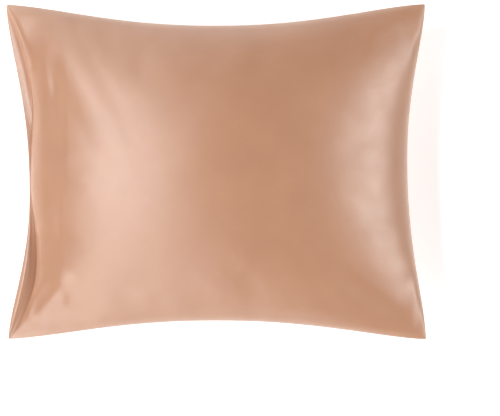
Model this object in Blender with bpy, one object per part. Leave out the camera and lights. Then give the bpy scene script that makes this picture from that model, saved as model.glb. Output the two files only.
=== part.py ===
"""A filled satin pillowcase, cut 60 x 50 cm, lying on its back.

Metres, +Z up. X runs along the long sides, from the mouth on the left. The origin is on the surface that the
pillowcase rests on, under the middle of its plan.
"""

import math

import bpy
import bmesh
from mathutils import Vector

# Corners of the sewn edge as the filled pillowcase lies, in plan, and how far each hangs below the seams.
CORNERS = {
    ("left", "low"): {"x": -0.2960, "y": -0.2375, "hangs": 0.016},
    ("right", "low"): {"x": 0.2985, "y": -0.2375, "hangs": 0.010},
    ("left", "high"): {"x": -0.2985, "y": 0.2375, "hangs": 0.012},
    ("right", "high"): {"x": 0.2960, "y": 0.2375, "hangs": 0.007},
}
HANG_SHARPNESS = 5

# How the filling draws each side in: the depth, and where it is deepest, -1 to 1 along the side. The pull
# spreads towards the corners in the same way on all four.
DRAWN_IN = {
    "left": {"depth": 0.033, "deepest": -0.1},
    "right": {"depth": 0.026, "deepest": 0.05},
    "low": {"depth": 0.027, "deepest": 0.0},
    "high": {"depth": 0.031, "deepest": 0.0},
}
PULL_SPREAD = 2.2
PULL_SHOULDER = 1.6

# Heights of the seam, and of the crown above it and the belly below it.
SEAM_HEIGHT = 0.076
CROWN_RISE = 0.092
BELLY_DROP = 0.103
LEVEL_BELOW = 0.001
BELLY_FLATNESS = 2.3
BELLY_FULLNESS = 0.62

# How flat the crown stays towards each side, and the slack cloth at the corners.
CROWN_FLATNESS = {"left": 1.8, "right": 1.8, "low": 2.0, "high": 3.0}
CROWN_SOFTNESS = 0.1
CROWN_FULLNESS = 0.65
CORNER_SLACK = 0.2
SLACK_REACH = 0.1

# The mouth: the front panel's folded edge stands in from the back panel's lip, most near the two corners.
LIP_LEAST = 0.0020
LIP_MIDDLE = -0.07
LIP_HIGH = {"width": 0.016, "widest": 0.7}
LIP_LOW = {"width": 0.022, "widest": 0.65}
LIP_NEAR = 2
LIP_FAR = 1

# The strip between them dips in front of the folded edge, and rises to it where the mouth is sewn shut.
LIP_LEVELS = [
    {"place": 0.38, "stretch": 0.30, "rise": -0.0025, "curve": 1.0},
    {"place": -0.66, "stretch": 0.38, "rise": -0.0110, "curve": 1.0},
    {"place": 0.80, "stretch": 0.27, "rise": 0.0090, "curve": 0.5},
]
LIP_RIM_SHARE = 0.55
LIP_RIM_RISE = 0.13

# Cloth.
SEAM_THICKNESS = 0.0015
BACK_THICKNESS = 0.0018
HEM_THICKNESS = 0.0026
HEM_WIDTH = 0.030
GAP = 0.0005
STEEPEST = 2.8
RIM_SLANT = 1.4
RIM_FADE = 0.008

# Folds of the filled front: where each starts and ends, its half width, and its rise, negative for a trough.
FOLD_COLUMNS = ("start", "end", "half_width", "rise")
FOLD_ROWS = [
    ((-0.250, 0.150), (-0.250, -0.020), 0.015, 0.002),
    ((-0.225, 0.175), (-0.220, -0.030), 0.018, -0.003),
    ((-0.230, -0.010), (-0.230, -0.150), 0.018, -0.003),
    ((-0.240, 0.215), (-0.125, 0.015), 0.035, 0.004),
    ((-0.225, -0.155), (-0.275, -0.210), 0.012, -0.003),
    ((-0.265, -0.220), (-0.205, -0.140), 0.020, 0.005),
    ((0.290, -0.225), (0.150, -0.135), 0.022, -0.003),
    ((0.050, -0.190), (0.190, -0.210), 0.020, 0.002),
    ((0.285, 0.230), (0.200, 0.190), 0.025, 0.004),
]
FOLDS = [dict(zip(FOLD_COLUMNS, row)) for row in FOLD_ROWS]
FOLD_FADE = 0.8

# Cells of the two panels' meshes.
COLUMNS = 40
ROWS = 34
LIP_COLUMNS = 4
RIM_CROWDING = 0.72
STEP = 0.004

SATIN_FRONT = {"colour": (0.600, 0.330, 0.215), "roughness": 0.34}
SATIN_BACK = {"colour": (0.560, 0.300, 0.190), "roughness": 0.38}


def mix(start, end, share):
    return start + (end - start) * share


def crowded(share):
    """Places from -1 to 1 that stand closer together towards both ends."""
    return mix(share, math.sin(share * math.pi / 2), RIM_CROWDING)


def drawn_in(side, along):
    """How far a side is pulled in at a place along it."""
    pull = DRAWN_IN[side]
    reach = 1 + pull["deepest"] if along < pull["deepest"] else 1 - pull["deepest"]
    share = min(1, abs(along - pull["deepest"]) / reach)
    return pull["depth"] * (1 - share**PULL_SPREAD) ** PULL_SHOULDER


def corner_shares(u, v):
    right = (u + 1) / 2
    high = (v + 1) / 2
    return {
        ("left", "low"): (1 - right) * (1 - high),
        ("right", "low"): right * (1 - high),
        ("left", "high"): (1 - right) * high,
        ("right", "high"): right * high,
    }


def plan(u, v):
    """Where a place on the flat panel, -1 to 1 each way, lies in plan once it is filled."""
    shares = corner_shares(u, v)
    x = sum(CORNERS[name]["x"] * share for name, share in shares.items())
    y = sum(CORNERS[name]["y"] * share for name, share in shares.items())
    right = (u + 1) / 2
    high = (v + 1) / 2
    x += (1 - right) * drawn_in("left", v) - right * drawn_in("right", v)
    y += (1 - high) * drawn_in("low", u) - high * drawn_in("high", u)
    return x, y


def seam_level(u, v):
    hang = sum(CORNERS[name]["hangs"] * share**HANG_SHARPNESS for name, share in corner_shares(u, v).items())
    return SEAM_HEIGHT - hang


def lip_width(v):
    """Width of the strip between the mouth's outer lip and the front panel's folded edge."""
    bump = LIP_HIGH if v > LIP_MIDDLE else LIP_LOW
    reach = 1 - LIP_MIDDLE if v > LIP_MIDDLE else 1 + LIP_MIDDLE
    share = min(1, abs(v - LIP_MIDDLE) / reach)
    widest = bump["widest"]
    swell = (share / widest) ** LIP_NEAR * ((1 - share) / (1 - widest)) ** LIP_FAR
    return LIP_LEAST + bump["width"] * swell


def mouth_fold(v):
    """The front panel's folded edge, as a place from -1 to 1 across the panel."""
    left = plan(-1, v)[0]
    right = plan(1, v)[0]
    return -1 + 2 * lip_width(v) / (right - left)


def across_front(u, v):
    """Place from -1 to 1 between the front panel's folded edge and its far seam; -1 all over the lip."""
    fold = mouth_fold(v)
    return max(-1, (u - fold) / (1 - fold) * 2 - 1)


def swelling(row, v):
    off = abs(v - row["place"]) / row["stretch"]
    return row["rise"] * (1 + math.cos(math.pi * off)) / 2 if off < 1 else 0


def lip_level(u, v):
    """Height of the strip at the mouth above the seam's level, level from the fold inwards."""
    share = min(1, (u + 1) / (mouth_fold(v) + 1))
    level = sum(swelling(row, v) * mix(share, share**2, row["curve"]) for row in LIP_LEVELS)
    if share < LIP_RIM_SHARE and v < LIP_MIDDLE:
        swell = (1 - math.cos(2 * math.pi * share / LIP_RIM_SHARE)) / 2
        level += LIP_RIM_RISE * (lip_width(v) - LIP_LEAST) * swell
    return level


def flattened(along, flatness):
    least = CROWN_SOFTNESS**flatness
    grown = (along**2 + CROWN_SOFTNESS**2) ** (flatness / 2)
    return (grown - least) / ((1 + CROWN_SOFTNESS**2) ** (flatness / 2) - least)


def crown_fullness(across, v, x, y):
    """Share of the crown's height, 0 at the seams and 1 in the middle."""
    lengthways = 1 - flattened(across, CROWN_FLATNESS["left" if across < 0 else "right"])
    crossways = 1 - flattened(v, CROWN_FLATNESS["low" if v < 0 else "high"])
    full = max(0, lengthways * crossways) ** CROWN_FULLNESS
    for corner in CORNERS.values():
        away = (x - corner["x"]) ** 2 + (y - corner["y"]) ** 2
        full *= 1 - CORNER_SLACK * math.exp(-away / SLACK_REACH**2)
    return full


def belly_fullness(across, v):
    lengthways = 1 - abs(across) ** BELLY_FLATNESS
    crossways = 1 - abs(v) ** BELLY_FLATNESS
    return max(0, lengthways * crossways) ** BELLY_FULLNESS


def fold_rise(x, y):
    """Height that the folds add at a place in plan."""
    total = 0
    for fold in FOLDS:
        start = Vector(fold["start"])
        run = Vector(fold["end"]) - start
        away = Vector((x, y)) - start
        along = away.dot(run) / run.length_squared
        off = abs(run.cross(away)) / run.length / fold["half_width"]
        if 0 < along < 1 and off < 1:
            swell = math.sin(math.pi * along) ** FOLD_FADE
            total += fold["rise"] * swell * (1 + math.cos(math.pi * off)) / 2
    return total


def resting(height):
    """The height, level where the pillowcase bears on the surface below."""
    return height if height > LEVEL_BELOW else 0


def belly(u, v):
    """Underside of the back panel."""
    full = belly_fullness(across_front(u, v), v)
    level = seam_level(u, v) - SEAM_THICKNESS + lip_level(u, v) * (1 - full)
    return resting(level - BELLY_DROP * full)


def surface_point(height, u, v):
    x, y = plan(u, v)
    return Vector((x, y, height(u, v)))


def slant(height, u, v):
    """How much longer an upright line through a sheet is than the sheet is thick."""
    across_from = max(-1, u - STEP)
    across_to = min(1, u + STEP)
    up_from = max(-1, v - STEP)
    up_to = min(1, v + STEP)
    across = surface_point(height, across_to, v) - surface_point(height, across_from, v)
    up = surface_point(height, u, up_to) - surface_point(height, u, up_from)
    normal = across.cross(up).normalized()
    rim = min(1 - abs(u), 1 - abs(v)) * plan(1, v)[0] / RIM_FADE
    return mix(RIM_SLANT, min(STEEPEST, max(1, 1 / normal.z)), min(1, rim))


def back_top(u, v):
    """Upper side of the back panel, thicker along its hem at the mouth."""
    from_mouth = plan(u, v)[0] - plan(-1, v)[0]
    hem = min(1, max(0, 2 - 2 * from_mouth / HEM_WIDTH))
    thickness = mix(BACK_THICKNESS, HEM_THICKNESS, hem)
    return belly(u, v) + thickness * slant(belly, u, v)


def front_low(u, v):
    return back_top(u, v) + GAP * slant(belly, u, v)


def front_top(u, v):
    """Crowned upper side of the filled front."""
    x, y = plan(u, v)
    full = crown_fullness(across_front(u, v), v, x, y)
    rim = seam_level(u, v) + (BACK_THICKNESS + GAP) * RIM_SLANT + max(0, lip_level(u, v)) * (1 - full)
    return rim + CROWN_RISE * full + fold_rise(x, y) * min(1, 3 * full)


def slab(columns, rows):
    """A closed slab of cells, from -1 to 1 each way, its lower face at 0 and its upper face at 1."""
    mesh = bmesh.new()
    bmesh.ops.create_grid(mesh, x_segments=columns, y_segments=rows, size=1)
    bmesh.ops.triangulate(mesh, faces=mesh.faces, quad_method="FIXED")
    raised = bmesh.ops.extrude_face_region(mesh, geom=mesh.faces[:], use_keep_orig=True)
    tops = [item for item in raised["geom"] if isinstance(item, bmesh.types.BMVert)]
    bmesh.ops.translate(mesh, verts=tops, vec=(0, 0, 1))
    bmesh.ops.recalc_face_normals(mesh, faces=mesh.faces)
    return mesh


def shape(mesh, columns, across, upper, lower):
    """Moves a slab's corners: across gives the place of a column, upper and lower its two faces' heights."""
    for vert in mesh.verts:
        column = round((vert.co.x + 1) / 2 * columns)
        v = crowded(vert.co.y)
        u = across(column, v)
        height = upper if vert.co.z > 0.5 else lower
        vert.co = surface_point(height, u, v)


def front_place(column, v):
    share = crowded(2 * column / COLUMNS - 1)
    return mix(mouth_fold(v), 1, (share + 1) / 2)


def back_place(column, v):
    if column < LIP_COLUMNS:
        return mix(-1, mouth_fold(v), column / LIP_COLUMNS)
    return front_place(column - LIP_COLUMNS, v)


def satin(name, look):
    material = bpy.data.materials.new(name)
    material.use_nodes = True
    shader = material.node_tree.nodes["Principled BSDF"]
    shader.inputs["Base Color"].default_value = (*look["colour"], 1)
    shader.inputs["Roughness"].default_value = look["roughness"]
    shader.inputs["Metallic"].default_value = 0
    return material


def add_piece(name, mesh, material, collection):
    data = bpy.data.meshes.new(name)
    mesh.to_mesh(data)
    mesh.free()
    data.shade_smooth()
    data.set_sharp_from_angle(angle=math.radians(50))
    data.materials.append(material)
    piece = bpy.data.objects.new(name, data)
    collection.objects.link(piece)
    return piece


def main():
    for old in list(bpy.data.objects):
        bpy.data.objects.remove(old, do_unlink=True)
    collection = bpy.data.collections.new("pillowcase")
    bpy.context.scene.collection.children.link(collection)

    front = slab(COLUMNS, ROWS)
    shape(front, COLUMNS, front_place, front_top, front_low)
    add_piece("filled_front", front, satin("front_satin", SATIN_FRONT), collection)

    back = slab(COLUMNS + LIP_COLUMNS, ROWS)
    shape(back, COLUMNS + LIP_COLUMNS, back_place, back_top, belly)
    add_piece("back_panel", back, satin("back_satin", SATIN_BACK), collection)


main()
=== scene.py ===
import math

import bmesh
import bpy
import numpy as np
from mathutils import Matrix, Vector, noise


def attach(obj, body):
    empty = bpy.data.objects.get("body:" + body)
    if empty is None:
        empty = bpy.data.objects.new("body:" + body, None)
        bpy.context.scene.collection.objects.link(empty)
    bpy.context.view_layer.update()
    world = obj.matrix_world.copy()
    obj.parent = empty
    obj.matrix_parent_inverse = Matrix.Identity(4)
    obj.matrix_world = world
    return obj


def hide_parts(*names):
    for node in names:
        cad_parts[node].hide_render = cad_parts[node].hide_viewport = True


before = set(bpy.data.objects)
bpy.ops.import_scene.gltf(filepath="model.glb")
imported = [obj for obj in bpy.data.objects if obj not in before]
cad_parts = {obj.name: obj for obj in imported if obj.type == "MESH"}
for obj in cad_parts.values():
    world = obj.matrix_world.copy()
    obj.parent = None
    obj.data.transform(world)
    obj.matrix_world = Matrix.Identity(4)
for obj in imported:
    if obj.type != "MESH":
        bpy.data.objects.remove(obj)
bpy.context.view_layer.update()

# A pillowcase of copper-peach satin, cut 60 x 50 cm, on its pillow and lying on its back.
# X runs along the long sides away from the mouth, the surface below is at z = 0. Metres throughout.
# A place on the flat cloth is (u, v), each from -1 to 1; "across" is u taken from the front's folded edge.

flatHalf = (0.30, 0.25)  # half the cloth's flat length and width

pillow = {
    "leftLow": (-0.2960, -0.2375, 0.016),  # corners: x, y and how far each hangs below the seams
    "rightLow": (0.2985, -0.2375, 0.010),
    "leftHigh": (-0.2985, 0.2375, 0.012),
    "rightHigh": (0.2960, 0.2375, 0.007),
    "hangSharpness": 5,
    "pulledLeft": (0.033, -0.1),  # sides: depth and deepest place
    "pulledRight": (0.026, 0.05),
    "pulledLow": (0.027, 0.0),
    "pulledHigh": (0.031, 0.0),
    "pullSpread": 2.2,
    "pullShoulder": 1.6,
    "seamHeight": 0.076,
    "seamDepth": 0.0030,
}

crown = {
    "rise": 0.092,
    "left": 1.8,  # how flat the crown stays towards each side
    "right": 1.8,
    "low": 2.0,
    "high": 3.0,
    "softness": 0.1,
    "fullness": 0.65,
    "slack": 0.2,  # of the cloth at each corner
    "slackReach": 0.1,
    "unevenness": 0.0006,
    "lumps": 14,  # per metre
}

belly = {
    "drop": 0.103,
    "flatness": 2.3,
    "fullness": 0.62,
    "floorBlend": 0.010,
}

mouth = {
    "leastWidth": 0.0020,  # strip of the back panel outside the front panel's folded edge
    "middle": -0.07,
    "high": (0.016, 0.7),  # width and widest place
    "low": (0.022, 0.65),
    "dipHigh": (0.0006, 0.20, 0.25),  # how far the strip dips in front of the fold, where, over what stretch
    "dipLow": (0.0048, -0.62, 0.38),
    "lift": (0.0085, 0.76, 0.60),  # and rises to it, where the mouth is closed
    "rimShare": 0.55,  # the strip's rolled outer rim, as a share of its width, and its rise
    "rimRise": 0.13,
    "rollRadius": 0.0017,
    "rollShare": 0.4,  # most that the roll takes of the height of the gap
    "shutGap": 0.0003,
    "undercut": 0.009,
    "undercutShare": 1.6,  # the same for the undercut
    "undercutReach": 0.034,
    "sewnShut": (0.66, 0.74),  # from where to where the folded edge closes on the strip
}

panelCloth = {
    "thickness": 0.0012,
    "hemThickness": 0.0022,
    "hemWidth": 0.030,
    "hemStep": 0.005,  # over which the hem thins out to the plain cloth
    "leaning": 1.6,  # how much longer an upright line through the cloth is where it leans
    "seamThickness": 0.0008,
    "gap": 0.0006,  # between the two panels
}

# folds of the front: a trough has a negative rise
foldColumns = ("start", "end", "halfWidth", "rise")
foldRows = (
    ((-0.250, 0.150), (-0.250, -0.020), 0.015, 0.002),
    ((-0.225, 0.175), (-0.220, -0.030), 0.018, -0.003),
    ((-0.230, -0.010), (-0.230, -0.150), 0.018, -0.003),
    ((-0.240, 0.215), (-0.125, 0.015), 0.035, 0.004),
    ((-0.225, -0.155), (-0.275, -0.210), 0.012, -0.003),
    ((-0.265, -0.220), (-0.205, -0.140), 0.020, 0.005),
    ((0.290, -0.225), (0.150, -0.135), 0.022, -0.003),
    ((0.050, -0.190), (0.190, -0.210), 0.020, 0.002),
    ((0.285, 0.230), (0.200, 0.190), 0.025, 0.004),
)
frontFolds = [dict(zip(foldColumns, row)) for row in foldRows]
foldFade = 0.8


def mix(start, end, share):
    return start + (end - start) * share


def crowded(share, crowding=0.62):
    return mix(share, math.sin(share * math.pi / 2), crowding)  # closer together near both ends


def pulledIn(side, along):
    depth, deepest = pillow[side]
    reach = 1 + deepest if along < deepest else 1 - deepest
    share = min(1, abs(along - deepest) / reach)
    return depth * (1 - share ** pillow["pullSpread"]) ** pillow["pullShoulder"]


def cornerShares(u, v):
    right, high = (u + 1) / 2, (v + 1) / 2
    return (
        ("leftLow", (1 - right) * (1 - high)),
        ("rightLow", right * (1 - high)),
        ("leftHigh", (1 - right) * high),
        ("rightHigh", right * high),
    )


def layOut(u, v):
    # where a place on the flat cloth lies once the pillow fills it
    right, high = (u + 1) / 2, (v + 1) / 2
    x = sum(pillow[name][0] * share for name, share in cornerShares(u, v))
    y = sum(pillow[name][1] * share for name, share in cornerShares(u, v))
    x += (1 - right) * pulledIn("pulledLeft", v) - right * pulledIn("pulledRight", v)
    y += (1 - high) * pulledIn("pulledLow", u) - high * pulledIn("pulledHigh", u)
    return x, y


def seamLevel(u, v):
    hang = sum(pillow[name][2] * share ** pillow["hangSharpness"] for name, share in cornerShares(u, v))
    return pillow["seamHeight"] - hang


def lipWidth(v):
    width, widest = mouth["high"] if v > mouth["middle"] else mouth["low"]
    reach = 1 - mouth["middle"] if v > mouth["middle"] else 1 + mouth["middle"]
    share = min(1, abs(v - mouth["middle"]) / reach)
    return mouth["leastWidth"] + width * (share / widest) ** 2 * (1 - share) / (1 - widest)


def mouthFold(v):
    left, right = layOut(-1, v)[0], layOut(1, v)[0]
    return -1 + 2 * lipWidth(v) / (right - left)


def acrossFrom(u, v):
    fold = mouthFold(v)
    return max(-1, (u - fold) / (1 - fold) * 2 - 1)


def swelling(row, v):
    height, place, stretch = row
    off = abs(v - place) / stretch
    return height * (1 + math.cos(math.pi * off)) / 2 if off < 1 else 0


def lipDip(v):
    return swelling(mouth["dipHigh"], v) + swelling(mouth["dipLow"], v)


def lipRim(v, lipShare):
    if lipShare > mouth["rimShare"] or v > mouth["middle"]:
        return 0
    swell = (1 - math.cos(2 * math.pi * lipShare / mouth["rimShare"])) / 2
    return mouth["rimRise"] * (lipWidth(v) - mouth["leastWidth"]) * swell


def rounded(along, flatness):
    soft = crown["softness"]
    least = soft ** flatness
    return ((along ** 2 + soft ** 2) ** (flatness / 2) - least) / ((1 + soft ** 2) ** (flatness / 2) - least)


def crownFullness(across, v, x, y):
    lengthways = 1 - rounded(across, crown["left"] if across < 0 else crown["right"])
    crossways = 1 - rounded(v, crown["low"] if v < 0 else crown["high"])
    full = max(0, lengthways * crossways) ** crown["fullness"]
    for name in ("leftLow", "rightLow", "leftHigh", "rightHigh"):
        away = (x - pillow[name][0]) ** 2 + (y - pillow[name][1]) ** 2
        full *= 1 - crown["slack"] * math.exp(-away / crown["slackReach"] ** 2)
    return full


def bellyFullness(across, v):
    lengthways = 1 - abs(across) ** belly["flatness"]
    crossways = 1 - abs(v) ** belly["flatness"]
    return max(0, lengthways * crossways) ** belly["fullness"]


def resting(height):
    blend = belly["floorBlend"]
    if height > blend:
        return height
    return 0 if height < -blend else (height + blend) ** 2 / (4 * blend)


def foldRise(x, y):
    total = 0
    for fold in frontFolds:
        start = Vector(fold["start"])
        run = Vector(fold["end"]) - start
        away = Vector((x, y)) - start
        along = away.dot(run) / run.length_squared
        off = abs(run.cross(away)) / run.length / fold["halfWidth"]
        if 0 < along < 1 and off < 1:
            swell = math.sin(math.pi * along) ** foldFade
            total += fold["rise"] * swell * (1 + math.cos(math.pi * off)) / 2
    return total


puckers = {
    "rise": 0.00072,
    "length": 0.024,  # from one pucker to the next, uneven
    "reach": 0.024,  # how far they run in from a seam
    "halfPlan": (0.30, 0.24),  # half the filled plan, about, which turns u and v into metres
    "change": 22,  # per metre of the way in
}


def puckerRise(u, v, x, y):
    # small gathers along the three sewn sides, standing across the seam
    total = 0
    halfLong, halfWide = puckers["halfPlan"]
    for place, along, side, half in ((v, x, -1, halfWide), (v, x, 1, halfWide), (u, y, 1, halfLong)):
        away = (1 - side * place) * half  # metres from the seam
        if away < puckers["reach"]:
            share = away / puckers["reach"]
            swell = min(1, share * 5) * (1 - share) ** 2
            wander = noise.noise(Vector((along / puckers["length"], side * 7, away * puckers["change"])))
            total += puckers["rise"] * wander * swell
    return total


def backLow(u, v):
    fold, across = mouthFold(v), acrossFrom(u, v)
    full = bellyFullness(across, v)
    lipShare = min(1, (u + 1) / (fold + 1))
    dip = lipDip(v) * lipShare ** 2 - swelling(mouth["lift"], v) * mix(lipShare, lipShare ** 3, 0.8)
    dip = dip * (1 - full) - lipRim(v, lipShare)
    return resting(seamLevel(u, v) - panelCloth["seamThickness"] - dip - belly["drop"] * full)


def backTop(u, v):
    x = layOut(u, v)[0] - layOut(-1, v)[0]
    hem = min(1, max(0, (panelCloth["hemWidth"] - x) / panelCloth["hemStep"]))
    lean = min(1, 4 * bellyFullness(acrossFrom(u, v), v))
    thickness = mix(panelCloth["thickness"], panelCloth["hemThickness"], hem)
    return backLow(u, v) + thickness * mix(1, panelCloth["leaning"], lean)


def frontLow(u, v):
    return backTop(u, v) + panelCloth["gap"]


def frontTop(u, v):
    x, y = layOut(u, v)
    full = crownFullness(acrossFrom(u, v), v, x, y)
    rise = crown["rise"] * full + foldRise(x, y) * min(1, 3 * full)
    rise += crown["unevenness"] * noise.noise(Vector((x * crown["lumps"], y * crown["lumps"], 3))) * full
    rise += puckerRise(u, v, x, y)
    return seamLevel(u, v) + pillow["seamDepth"] + swelling(mouth["lift"], v) * (1 - full) + rise


def clothSlab(columns, rows, wallCuts):
    # a closed slab of square cells, its lower face at 0 and its upper face at 1
    mesh = bmesh.new()
    bmesh.ops.create_grid(mesh, x_segments=columns, y_segments=rows, size=1)
    raised = bmesh.ops.extrude_face_region(mesh, geom=mesh.faces[:], use_keep_orig=True)
    tops = [item for item in raised["geom"] if isinstance(item, bmesh.types.BMVert)]
    bmesh.ops.translate(mesh, verts=tops, vec=(0, 0, 1))
    walls = [edge for edge in mesh.edges if abs(edge.verts[0].co.z - edge.verts[1].co.z) > 0.5]
    bmesh.ops.subdivide_edges(mesh, edges=walls, cuts=wallCuts, use_grid_fill=True)
    bmesh.ops.recalc_face_normals(mesh, faces=mesh.faces[:])
    return mesh


clothRun = {
    "frames": 20,
    "pressure": 4.0,
    "mass": 0.002,  # of each point
    "slack": 0.012,  # cloth longer than the form by this share
    "stiffness": 14,
    "bending": 0.10,
    "heldWithin": 3,  # cells beside a seam or the mouth that stay with the form
    "fineness": 7,  # cells over which the run's creases are told from the form
    "share": 0.8,  # of the creases that is kept
    "limit": 0.0011,  # most that a point may move
}


def blurred(field, reach):
    # two running means along each direction of the grid
    for axis in (0, 1):
        for turn in range(2):
            padded = np.pad(field, [(reach, reach) if a == axis else (0, 0) for a in range(3)], mode="edge")
            total = np.cumsum(padded, axis=axis)
            before = np.zeros_like(np.take(total, [0], axis=axis))
            total = np.concatenate((before, total), axis=axis)
            count = field.shape[axis]
            width = 2 * reach + 1
            ahead = np.take(total, range(width, width + count), axis=axis)
            field = (ahead - np.take(total, range(count), axis=axis)) / width
    return field


def creaseCloth(panel, topCells):
    # a short cloth run over the filled form; only its fine creases are kept
    scene = bpy.context.scene
    columns, rows = grid["columns"], grid["rows"]
    formed = np.zeros((rows + 1, columns + 1, 3))
    for index, (column, row) in topCells.items():
        formed[row, column] = panel.data.vertices[index].co
    sheet = bmesh.new()
    bmesh.ops.create_grid(sheet, x_segments=columns, y_segments=rows, size=1)
    sheet.verts.index_update()
    places = [((vert.co.x + 1) / 2, (vert.co.y + 1) / 2) for vert in sheet.verts]
    cells = [(round(right * columns), round(high * rows)) for right, high in places]
    for vert, (column, row) in zip(sheet.verts, cells):
        vert.co = formed[row, column]
    trial = addPiece("trial", sheet, frontSatin, 0)
    held = trial.vertex_groups.new(name="held")
    for index, (column, row) in enumerate(cells):
        inside = min(column, columns - column, row, rows - row) / clothRun["heldWithin"]
        held.add([index], max(0, 1 - inside), "REPLACE")
    cloth = trial.modifiers.new("cloth", "CLOTH")
    cloth.settings.quality = 5
    cloth.settings.mass = clothRun["mass"]
    cloth.settings.tension_stiffness = clothRun["stiffness"]
    cloth.settings.compression_stiffness = clothRun["stiffness"]
    cloth.settings.shear_stiffness = clothRun["stiffness"] / 3
    cloth.settings.bending_stiffness = clothRun["bending"]
    cloth.settings.shrink_min = -clothRun["slack"]
    cloth.settings.shrink_max = -clothRun["slack"]
    cloth.settings.use_pressure = True
    cloth.settings.uniform_pressure_force = clothRun["pressure"]
    cloth.settings.vertex_group_mass = "held"
    cloth.settings.effector_weights.gravity = 0
    cloth.collision_settings.use_collision = False
    cloth.collision_settings.use_self_collision = False
    cloth.point_cache.frame_start = 1
    cloth.point_cache.frame_end = clothRun["frames"]
    for frameNumber in range(1, clothRun["frames"] + 1):
        scene.frame_set(frameNumber)
    settled = trial.evaluated_get(bpy.context.evaluated_depsgraph_get()).data
    moved = np.zeros_like(formed)
    for index, (column, row) in enumerate(cells):
        moved[row, column] = settled.vertices[index].co
    moved -= formed
    scene.frame_set(1)
    bpy.data.objects.remove(trial, do_unlink=True)
    fine = blurred(moved, 1) - blurred(moved, clothRun["fineness"])
    fine *= clothRun["share"]
    length = np.linalg.norm(fine, axis=2, keepdims=True) + 1e-9
    fine *= clothRun["limit"] * np.tanh(length / clothRun["limit"]) / length
    for index, (column, row) in topCells.items():
        inside = min(column, columns - column, row, rows - row) / clothRun["heldWithin"]
        panel.data.vertices[index].co += Vector(fine[row, column] * min(1, inside))


def addPiece(name, mesh, material, levels=1):
    data = bpy.data.meshes.new(name)
    mesh.to_mesh(data)
    mesh.free()
    data.materials.append(material)
    data.shade_smooth()
    piece = bpy.data.objects.new(name, data)
    bpy.context.scene.collection.objects.link(piece)
    if levels:
        rounder = piece.modifiers.new("rounder", "SUBSURF")
        rounder.levels = levels
        rounder.render_levels = levels
    return piece


satinLook = {
    "colour": (0.55, 0.275, 0.16),
    "backColour": (0.54, 0.27, 0.16),
    "roughness": 0.42,
    "roughnessRange": 0.05,
    "glossIndex": 1.6,
    "specular": 0.9,
    "sheen": 0.05,
    "anisotropy": 0.6,
    "threadsPerMetre": 2600,
    "threadsAcross": 900,  # per metre, seen as short floats between them
    "slubs": (22, 850),  # per metre along and across the threads
    "mottling": 14,  # per metre
    "unevenGloss": 38,
    "weaveStrength": 0.2,
    "weaveDepth": 0.0001,
    # the next three: a painted rim highlight, with its pale colour, strength and reach
    "paintedRimColour": (0.86, 0.62, 0.48),
    "paintedRimHighlight": 0.16,  # painted rim highlight: paler along the seams, standing in for the light the steep edges catch
    "paintedRimReach": 0.013,
}


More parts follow.
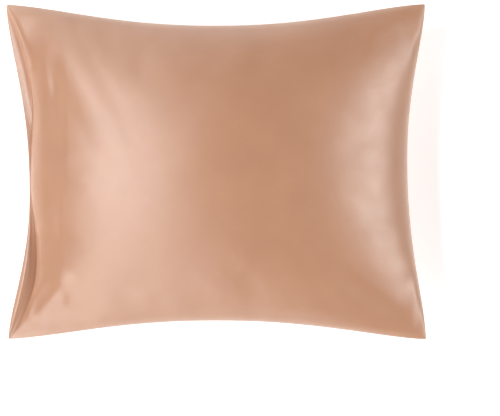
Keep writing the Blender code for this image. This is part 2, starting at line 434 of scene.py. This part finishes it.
def satin(name, colour):
    material = bpy.data.materials.new(name)
    material.use_nodes = True
    nodes, links = material.node_tree.nodes, material.node_tree.links
    shader = nodes["Principled BSDF"]
    shader.inputs["IOR"].default_value = satinLook["glossIndex"]
    shader.inputs["Specular IOR Level"].default_value = satinLook["specular"]
    shader.inputs["Sheen Weight"].default_value = satinLook["sheen"]
    shader.inputs["Sheen Roughness"].default_value = 0.4
    shader.inputs["Anisotropic"].default_value = satinLook["anisotropy"]
    shader.inputs["Anisotropic Rotation"].default_value = 0.25
    cloth = nodes.new("ShaderNodeUVMap")
    cloth.uv_map = "cloth"

    def noiseOver(scale, detail, stretch=None):
        pattern = nodes.new("ShaderNodeTexNoise")
        pattern.inputs["Scale"].default_value = scale
        pattern.inputs["Detail"].default_value = detail
        source = cloth.outputs["UV"]
        if stretch:
            placed = nodes.new("ShaderNodeMapping")
            placed.inputs["Scale"].default_value = (*stretch, 1)
            links.new(source, placed.inputs["Vector"])
            source = placed.outputs["Vector"]
        links.new(source, pattern.inputs["Vector"])
        return pattern.outputs["Fac"]

    def stepped(operation, first, second=None):
        step = nodes.new("ShaderNodeMath")
        step.operation = operation
        for socket, value in zip(step.inputs, (first, second)):
            if isinstance(value, (int, float)):
                socket.default_value = value
            elif value is not None:
                links.new(value, socket)
        return step.outputs["Value"]

    def ranged(value, low, high, toLow, toHigh, smooth=False):
        band = nodes.new("ShaderNodeMapRange")
        band.interpolation_type = "SMOOTHSTEP" if smooth else "LINEAR"
        for socket, number in zip(("From Min", "From Max", "To Min", "To Max"), (low, high, toLow, toHigh)):
            band.inputs[socket].default_value = number
        links.new(value, band.inputs["Value"])
        return band.outputs["Result"]

    mottle = noiseOver(satinLook["mottling"], 3)
    slubs = noiseOver(1, 2, satinLook["slubs"])
    tint = nodes.new("ShaderNodeValToRGB")
    tint.color_ramp.elements[0].position = 0.3
    tint.color_ramp.elements[0].color = (colour[0] * 0.95, colour[1] * 0.93, colour[2] * 0.93, 1)
    tint.color_ramp.elements[1].position = 0.7
    tint.color_ramp.elements[1].color = (colour[0] * 1.04, colour[1] * 1.05, colour[2] * 1.05, 1)
    blotches = stepped("ADD", stepped("MULTIPLY", mottle, 0.75), stepped("MULTIPLY", slubs, 0.25))
    links.new(blotches, tint.inputs["Fac"])

    # painted rim highlight: the colour is paled along the seams to stand in for the light the steep edges
    # catch
    place = nodes.new("ShaderNodeSeparateXYZ")
    links.new(cloth.outputs["UV"], place.inputs["Vector"])
    fromSides = stepped("SUBTRACT", flatHalf[0], stepped("ABSOLUTE", place.outputs["X"]))
    fromEnds = stepped("SUBTRACT", flatHalf[1], stepped("ABSOLUTE", place.outputs["Y"]))
    nearest = stepped("MINIMUM", fromSides, fromEnds)
    paintedRimShare = ranged(nearest, 0, satinLook["paintedRimReach"], satinLook["paintedRimHighlight"], 0, smooth=True)
    paintedRimMix = nodes.new("ShaderNodeMix")
    paintedRimMix.data_type = "RGBA"
    links.new(paintedRimShare, paintedRimMix.inputs["Factor"])
    links.new(tint.outputs["Color"], paintedRimMix.inputs["A"])
    paintedRimMix.inputs["B"].default_value = (*satinLook["paintedRimColour"], 1)
    links.new(paintedRimMix.outputs["Result"], shader.inputs["Base Color"])

    gloss, spread = satinLook["roughness"], satinLook["roughnessRange"]
    polish = noiseOver(satinLook["unevenGloss"], 2)
    uneven = stepped("ADD", stepped("MULTIPLY", polish, 0.5), stepped("MULTIPLY", slubs, 0.5))
    links.new(ranged(uneven, 0.3, 0.7, gloss - spread, gloss + spread), shader.inputs["Roughness"])

    tangent = nodes.new("ShaderNodeTangent")
    tangent.direction_type = "UV_MAP"
    tangent.uv_map = "cloth"
    links.new(tangent.outputs["Tangent"], shader.inputs["Tangent"])

    def bands(direction, perMetre):
        threads = nodes.new("ShaderNodeTexWave")
        threads.wave_type = "BANDS"
        threads.bands_direction = direction
        threads.inputs["Scale"].default_value = perMetre * math.pi / 10
        threads.inputs["Distortion"].default_value = 1.5
        threads.inputs["Detail"].default_value = 1
        links.new(cloth.outputs["UV"], threads.inputs["Vector"])
        return threads.outputs["Fac"]

    floats = stepped("MULTIPLY", bands("X", satinLook["threadsAcross"]), 0.3)
    woven = stepped("ADD", bands("Y", satinLook["threadsPerMetre"]), floats)
    weave = nodes.new("ShaderNodeBump")
    weave.inputs["Strength"].default_value = satinLook["weaveStrength"]
    weave.inputs["Distance"].default_value = satinLook["weaveDepth"]
    links.new(stepped("ADD", woven, stepped("MULTIPLY", slubs, 1.5)), weave.inputs["Height"])
    links.new(weave.outputs["Normal"], shader.inputs["Normal"])
    return material


def layCloth(mesh, columns, placeAcross, upper, lower, settle=None):
    clothMap = mesh.loops.layers.uv.new("cloth")
    flat = {}
    topCells = {}
    for vert in mesh.verts:
        column = round((vert.co.x + 1) / 2 * columns)
        if vert.co.z > 0.99:
            topCells[vert.index] = (column, round((vert.co.y + 1) / 2 * grid["rows"]))
        v = crowded(vert.co.y)
        u = placeAcross(column, v)
        x, y = layOut(u, v)
        low, top = lower(u, v), upper(u, v)
        share = vert.co.z
        flat[vert] = (u * flatHalf[0], v * flatHalf[1])
        vert.co = (x, y, mix(low, top, share))
        if settle:
            settle(vert, column, share, v, low, top)
    for face in mesh.faces:
        for loop in face.loops:
            loop[clothMap].uv = flat[loop.vert]
    return topCells


grid = {"columns": 110, "rows": 92, "lipColumns": 10, "wallCuts": 5}


def frontAcross(column, v):
    share = crowded(2 * column / grid["columns"] - 1)
    return mix(mouthFold(v), 1, (share + 1) / 2)


def backAcross(column, v):
    if column < grid["lipColumns"]:
        return mix(-1, mouthFold(v), column / grid["lipColumns"])
    return frontAcross(column - grid["lipColumns"], v)


def rollMouth(vert, column, share, v, low, top):
    # turns the front panel's edge at the mouth under itself, over an open gap where it isn't sewn shut
    gape = top - low
    opens, closes = mouth["sewnShut"]
    shut = min(1, max(0, (v - opens) / (closes - opens)))
    gape *= 1 - shut
    radius = min(mouth["rollRadius"], mouth["rollShare"] * gape)
    undercut = min(mouth["undercut"], mouth["undercutShare"] * gape)
    level = round(share * (grid["wallCuts"] + 1))
    top -= shut * (top - low - mouth["shutGap"])
    fromFold = vert.co.x - layOut(mouthFold(v), v)[0]
    if level == 0:
        vert.co.x += undercut * max(0, 1 - fromFold / mouth["undercutReach"]) ** 2
    elif column == 0 and level >= 3:
        turn = math.pi * (grid["wallCuts"] + 1 - level) / 3
        vert.co.x -= radius * math.sin(turn)
        vert.co.z = top - radius * (1 - math.cos(turn))
    elif column == 0:
        vert.co.x += undercut * (1.0 if level == 1 else 0.6)
        vert.co.z = mix(low, top - 2 * radius, 0.4 if level == 1 else 0.9)


stitches = {
    "fromEdge": 0.026,
    "length": 0.0026,
    "pitch": 0.0036,
    "thread": 0.00035,
    "colour": (0.52, 0.26, 0.155),
    "fibres": 1800,  # per metre
    "lineEnds": 0.985,  # of v
}


def alongHem():
    # points of the hem's seam on the underside, from the low side to the high side
    places = []
    for step in range(401):
        v = mix(-stitches["lineEnds"], stitches["lineEnds"], step / 400)
        left, right = layOut(-1, v)[0], layOut(1, v)[0]
        u = -1 + 2 * stitches["fromEdge"] / (right - left)
        places.append(Vector((*layOut(u, v), backLow(u, v))))
    return places


def spaced(places, pitch):
    # the same line, stepped evenly along its length
    stops, travelled, due = [], 0, 0
    for here, ahead in zip(places, places[1:]):
        length = (ahead - here).length
        while length and due <= travelled + length:
            stops.append(here.lerp(ahead, (due - travelled) / length))
            due += pitch
        travelled += length
    return stops


def hemStitches(stops):
    # one short rounded stitch between each two stops, lying along the line
    mesh = bmesh.new()
    for here, ahead in zip(stops, stops[1:]):
        along = (ahead - here).normalized()
        across = along.cross(Vector((0, 0, -1))).normalized()
        turned = Matrix((across, along, across.cross(along))).transposed().to_4x4()
        size = Matrix.Diagonal((stitches["thread"], stitches["length"] / 2, stitches["thread"] * 0.8, 1))
        placed = Matrix.Translation(here.lerp(ahead, 0.5)) @ turned @ size
        bmesh.ops.create_icosphere(mesh, subdivisions=2, radius=1, matrix=placed)
    return mesh


seam = {
    "radius": 0.0010,  # of the turned-in allowance that closes the three sewn sides
    "inside": 0.0010,  # from the edge
    "pitch": 0.0040,
}


def closedSides():
    # points round the three sewn sides, halfway between the panels
    places = []
    for step in range(901):
        share = step / 300
        along = mix(-1, 1, share % 1 if share < 3 else 1)
        u, v = ((along, -1), (1, along), (-along, 1))[min(2, int(share))]
        fromFold = max(u, mouthFold(v))
        inward = Vector((-(u == 1) * seam["inside"], -v * seam["inside"] if abs(v) == 1 else 0, 0))
        between = backTop(fromFold, v) + panelCloth["gap"] / 2
        places.append(Vector((*layOut(fromFold, v), between)) + inward)
    return places


def seamRoll(name, stops, material):
    line = bpy.data.curves.new(name, "CURVE")
    line.dimensions = "3D"
    line.bevel_depth = seam["radius"]
    line.bevel_resolution = 1
    line.use_fill_caps = True
    run = line.splines.new("POLY")
    run.points.add(len(stops) - 1)
    for point, stop in zip(run.points, stops):
        point.co = (*stop, 1)
    drawn = bpy.data.objects.new(name + "Line", line)
    data = bpy.data.meshes.new_from_object(drawn)
    bpy.data.objects.remove(drawn)
    data.materials.clear()
    data.materials.append(material)
    data.shade_smooth()
    piece = bpy.data.objects.new(name, data)
    bpy.context.scene.collection.objects.link(piece)
    return piece


def threadPaint():
    material = bpy.data.materials.new("hemThread")
    material.use_nodes = True
    nodes, links = material.node_tree.nodes, material.node_tree.links
    shader = nodes["Principled BSDF"]
    shader.inputs["Roughness"].default_value = 0.5
    shader.inputs["Sheen Weight"].default_value = 0.1
    place = nodes.new("ShaderNodeTexCoord")
    fibre = nodes.new("ShaderNodeTexNoise")
    fibre.inputs["Scale"].default_value = stitches["fibres"]
    links.new(place.outputs["Object"], fibre.inputs["Vector"])
    tint = nodes.new("ShaderNodeValToRGB")
    for element, shade in zip(tint.color_ramp.elements, (0.85, 1.12)):
        element.color = (*(channel * shade for channel in stitches["colour"]), 1)
    links.new(fibre.outputs["Fac"], tint.inputs["Fac"])
    links.new(tint.outputs["Color"], shader.inputs["Base Color"])
    twist = nodes.new("ShaderNodeBump")
    twist.inputs["Strength"].default_value = 0.3
    twist.inputs["Distance"].default_value = 0.0001
    links.new(fibre.outputs["Fac"], twist.inputs["Height"])
    links.new(twist.outputs["Normal"], shader.inputs["Normal"])
    return material


print("satin")
frontSatin = satin("frontSatin", satinLook["colour"])
backSatin = satin("backSatin", satinLook["backColour"])

print("front panel")
frontMesh = clothSlab(grid["columns"], grid["rows"], grid["wallCuts"])
frontMesh.verts.index_update()
frontCells = layCloth(frontMesh, grid["columns"], frontAcross, frontTop, frontLow, rollMouth)
frontPanel = addPiece("frontPanel", frontMesh, frontSatin)
print("cloth run")
creaseCloth(frontPanel, frontCells)
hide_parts("filled_front")
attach(frontPanel, "root")

print("back panel")
backColumns = grid["columns"] + grid["lipColumns"]
backMesh = clothSlab(backColumns, grid["rows"], 2)
layCloth(backMesh, backColumns, backAcross, backTop, backLow)
backPanel = addPiece("backPanel", backMesh, backSatin)
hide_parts("back_panel")
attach(backPanel, "root")

print("hem stitches")
hemMesh = hemStitches(spaced(alongHem(), stitches["pitch"]))
thread = threadPaint()
hemThread = addPiece("hemThread", hemMesh, thread, 0)
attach(hemThread, "root")

print("closed seam")
closedSeam = seamRoll("closedSeam", spaced(closedSides(), seam["pitch"]), thread)
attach(closedSeam, "root")

studio = {
    "focalLength": 120,
    "sensorWidth": 36,
    "frameWidth": 0.7085,
    "look": (0.0483, -0.0511),
    "floorColour": (0.93, 0.93, 0.93),
    "floorGlow": 0.5,
    "sky": 0.10,
    "away": 4.0,
    "panel": (1.2, 3.5),  # the long side shortens with the lean to the right
    "panelPower": 46,
    "aimHeight": 0.12,
    "floorHalf": 4,
}

softboxes = (  # lean to the right and to the top in degrees, brightness
    (-37, 0, 2.5),  # the main one, on the mouth's side
    (60, 0, 1.6),
    (-20, -60, 1.3),
    (-20, 65, 0.6),
)

print("studio")
floorMesh = bmesh.new()
bmesh.ops.create_grid(floorMesh, x_segments=1, y_segments=1, size=studio["floorHalf"])
floorPaint = bpy.data.materials.new("floorPaint")
floorPaint.use_nodes = True
floorShader = floorPaint.node_tree.nodes["Principled BSDF"]
floorShader.inputs["Base Color"].default_value = (*studio["floorColour"], 1)
floorShader.inputs["Roughness"].default_value = 0.9
floorShader.inputs["Emission Color"].default_value = (1, 1, 1, 1)
floorShader.inputs["Emission Strength"].default_value = studio["floorGlow"]
floor = addPiece("studioFloor", floorMesh, floorPaint, 0)

for index, (leanRight, leanHigh, brightness) in enumerate(softboxes):
    name = f"softbox{index + 1}"
    lamp = bpy.data.lights.new(name, "AREA")
    lamp.shape = "RECTANGLE"
    right, high = math.radians(leanRight), math.radians(leanHigh)
    lamp.size = studio["panel"][0]
    lamp.size_y = studio["panel"][1] * math.cos(right)
    lamp.energy = brightness * studio["panelPower"]
    holder = bpy.data.objects.new(name, lamp)
    away = Vector((math.sin(right), math.cos(right) * math.sin(high), math.cos(right) * math.cos(high)))
    across = Vector((0, 1, 0)).cross(away).normalized()
    facing = Matrix((across, away.cross(across), away)).transposed().to_4x4()
    standing = away * studio["away"] + Vector((0, 0, studio["aimHeight"]))
    holder.matrix_world = Matrix.Translation(standing) @ facing
    bpy.context.scene.collection.objects.link(holder)

sky = bpy.data.worlds.new("sky")
sky.use_nodes = True
sky.node_tree.nodes["Background"].inputs["Color"].default_value = (1, 1, 1, 1)
sky.node_tree.nodes["Background"].inputs["Strength"].default_value = studio["sky"]
bpy.context.scene.world = sky
bpy.context.scene.view_settings.view_transform = "Standard"

lens = bpy.data.cameras.new("camera")
lens.lens = studio["focalLength"]
lens.sensor_width = studio["sensorWidth"]
camera = bpy.data.objects.new("camera", lens)
distance = studio["frameWidth"] * studio["focalLength"] / studio["sensorWidth"]
camera.location = (*studio["look"], distance + pillow["seamHeight"])
bpy.context.scene.collection.objects.link(camera)
bpy.context.scene.camera = camera
